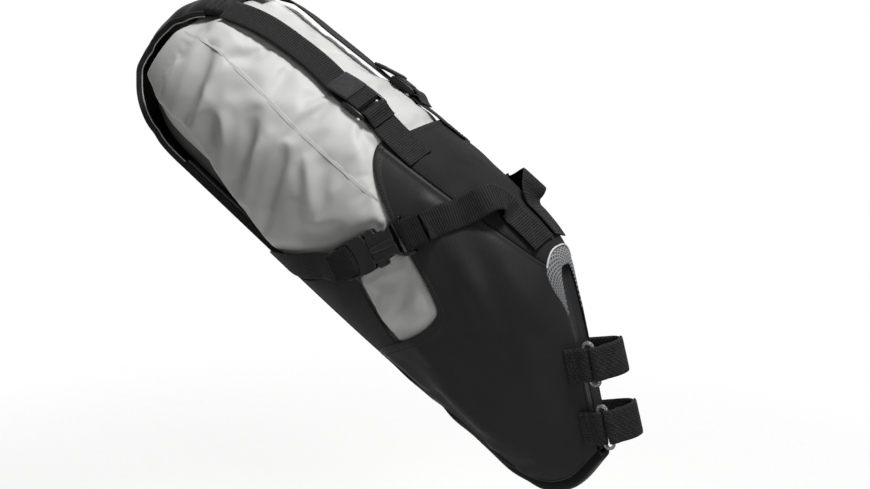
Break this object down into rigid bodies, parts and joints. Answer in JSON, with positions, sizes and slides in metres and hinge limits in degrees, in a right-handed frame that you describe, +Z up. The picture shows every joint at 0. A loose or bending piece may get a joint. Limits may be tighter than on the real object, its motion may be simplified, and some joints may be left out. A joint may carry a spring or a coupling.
{
  "type": "bicycle saddle bag",
  "caption": "Seat-post saddle bag: sewn black holster that cradles a grey roll-top dry bag, with adjusting top straps, side-release buckles to the saddle rails and hook-and-loop post straps.",
  "frame": {"origin": "on the seat post's axis, midway between the two post straps", "axes": "+X forward along the bicycle, +Y to its left, +Z up; the post leans back 15 degrees and the bag's long axis rises rearwards at 33 degrees"},
  "size_m": [0.4907, 0.1888, 0.3996],
  "materials": {
    "coated_fabric": "satin, polymer coated",
    "woven_fabric": "matte weave",
    "mesh_fabric": "silver-grey mesh",
    "piping": "light cord edge",
    "bag_fabric": "matte coated",
    "webbing": "ribbed webbing",
    "loop_fabric": "coarse loop face",
    "gloss_plastic": "moulded, glossy",
    "ring_plastic": "translucent dark",
    "stiffener_sheet": "plain sheet"
  },
  "bodies": {
    "holster": {"side_panel_right": "coated_fabric", "side_panel_left": "coated_fabric", "top_panel": "woven_fabric", "front_panel": "coated_fabric", "front_mesh": "mesh_fabric", "mesh_piping": "piping", "base_panel": "coated_fabric", "base_stiffener": "stiffener_sheet", "tail_panel": "coated_fabric", "tail_hem": "webbing", "gusset_right": "woven_fabric", "gusset_left": "woven_fabric", "dry_bag": "bag_fabric", "roll_closure": "bag_fabric", "top_strap_right": "webbing", "top_strap_left": "webbing", "strap_anchor_right": "webbing", "strap_anchor_left": "webbing", "rail_strap_right": "webbing", "rail_strap_left": "webbing", "buckle_socket_right": "gloss_plastic", "buckle_socket_left": "gloss_plastic", "side_strap_right": "webbing", "side_strap_left": "webbing", "post_tab_upper": "loop_fabric", "post_tab_lower": "loop_fabric", "post_ring_upper": "ring_plastic", "post_ring_lower": "ring_plastic", "post_strap_upper": "loop_fabric", "post_strap_lower": "loop_fabric"},
    "plug_right": {"buckle_plug_right": "gloss_plastic"},
    "plug_left": {"buckle_plug_left": "gloss_plastic"},
    "arm_right_upper": {"release_arm_right_upper": "gloss_plastic"},
    "arm_right_lower": {"release_arm_right_lower": "gloss_plastic"},
    "arm_left_upper": {"release_arm_left_upper": "gloss_plastic"},
    "arm_left_lower": {"release_arm_left_lower": "gloss_plastic"},
    "lock_right": {"ladder_lock_right": "gloss_plastic"},
    "lock_left": {"ladder_lock_left": "gloss_plastic"},
    "flap_upper": {"post_flap_upper": "loop_fabric"},
    "flap_lower": {"post_flap_lower": "loop_fabric"},
    "loop": {"pull_loop": "webbing"}
  },
  "joints": [
    {"name": "plug_right_slide", "type": "slide", "parent": "holster", "child": "plug_right", "axis": [-0.8614, -0.1633, -0.481], "range_m": [0, 0.028], "deforming": ["side_strap_right"]},
    {"name": "arm_right_lower_press", "type": "hinge", "parent": "plug_right", "child": "arm_right_lower", "pos_m": [-0.17937, -0.07914, 0.10243], "axis": [0.1728, -0.9846, 0.0247], "range_deg": [0, 6.5], "stiffness_Nm_per_rad": 0.02},
    {"name": "arm_right_upper_press", "type": "hinge", "parent": "plug_right", "child": "arm_right_upper", "pos_m": [-0.18864, -0.08034, 0.11943], "axis": [0.1728, -0.9846, 0.0247], "range_deg": [-6.5, 0], "stiffness_Nm_per_rad": 0.02},
    {"name": "plug_left_slide", "type": "slide", "parent": "holster", "child": "plug_left", "axis": [-0.8614, 0.1633, -0.481], "range_m": [0, 0.028], "deforming": ["side_strap_left"]},
    {"name": "arm_left_lower_press", "type": "hinge", "parent": "plug_left", "child": "arm_left_lower", "pos_m": [-0.17937, 0.07914, 0.10243], "axis": [-0.1728, -0.9846, -0.0247], "range_deg": [0, 6.5], "stiffness_Nm_per_rad": 0.02},
    {"name": "arm_left_upper_press", "type": "hinge", "parent": "plug_left", "child": "arm_left_upper", "pos_m": [-0.18864, 0.08034, 0.11943], "axis": [-0.1728, -0.9846, -0.0247], "range_deg": [-6.5, 0], "stiffness_Nm_per_rad": 0.02},
    {"name": "lock_right_tilt", "type": "hinge", "parent": "holster", "child": "lock_right", "pos_m": [-0.20835, -0.03446, 0.21845], "axis": [0.1973, 0.9216, 0.3342], "range_deg": [0, 40], "deforming": ["top_strap_right"]},
    {"name": "lock_left_tilt", "type": "hinge", "parent": "holster", "child": "lock_left", "pos_m": [-0.20835, 0.03446, 0.21845], "axis": [-0.1973, 0.9216, -0.3342], "range_deg": [0, 40], "deforming": ["top_strap_left"]},
    {"name": "flap_upper_peel", "type": "hinge", "parent": "holster", "child": "flap_upper", "pos_m": [-0.0037, -0.01965, 0.02696], "axis": [0.2588, 0, -0.9659], "range_deg": [0, 110]},
    {"name": "flap_lower_peel", "type": "hinge", "parent": "holster", "child": "flap_lower", "pos_m": [0.01027, -0.01965, -0.0252], "axis": [0.2588, 0, -0.9659], "range_deg": [0, 110]},
    {"name": "loop_swing", "type": "hinge", "parent": "holster", "child": "loop", "pos_m": [-0.35328, 0, 0.29859], "axis": [0, -1, 0], "range_deg": [0, 60]}
  ],
  "couplings": [
    {"joint": "arm_right_upper_press", "follows": "arm_right_lower_press", "ratio": -1},
    {"joint": "arm_left_upper_press", "follows": "arm_left_lower_press", "ratio": -1}
  ]
}
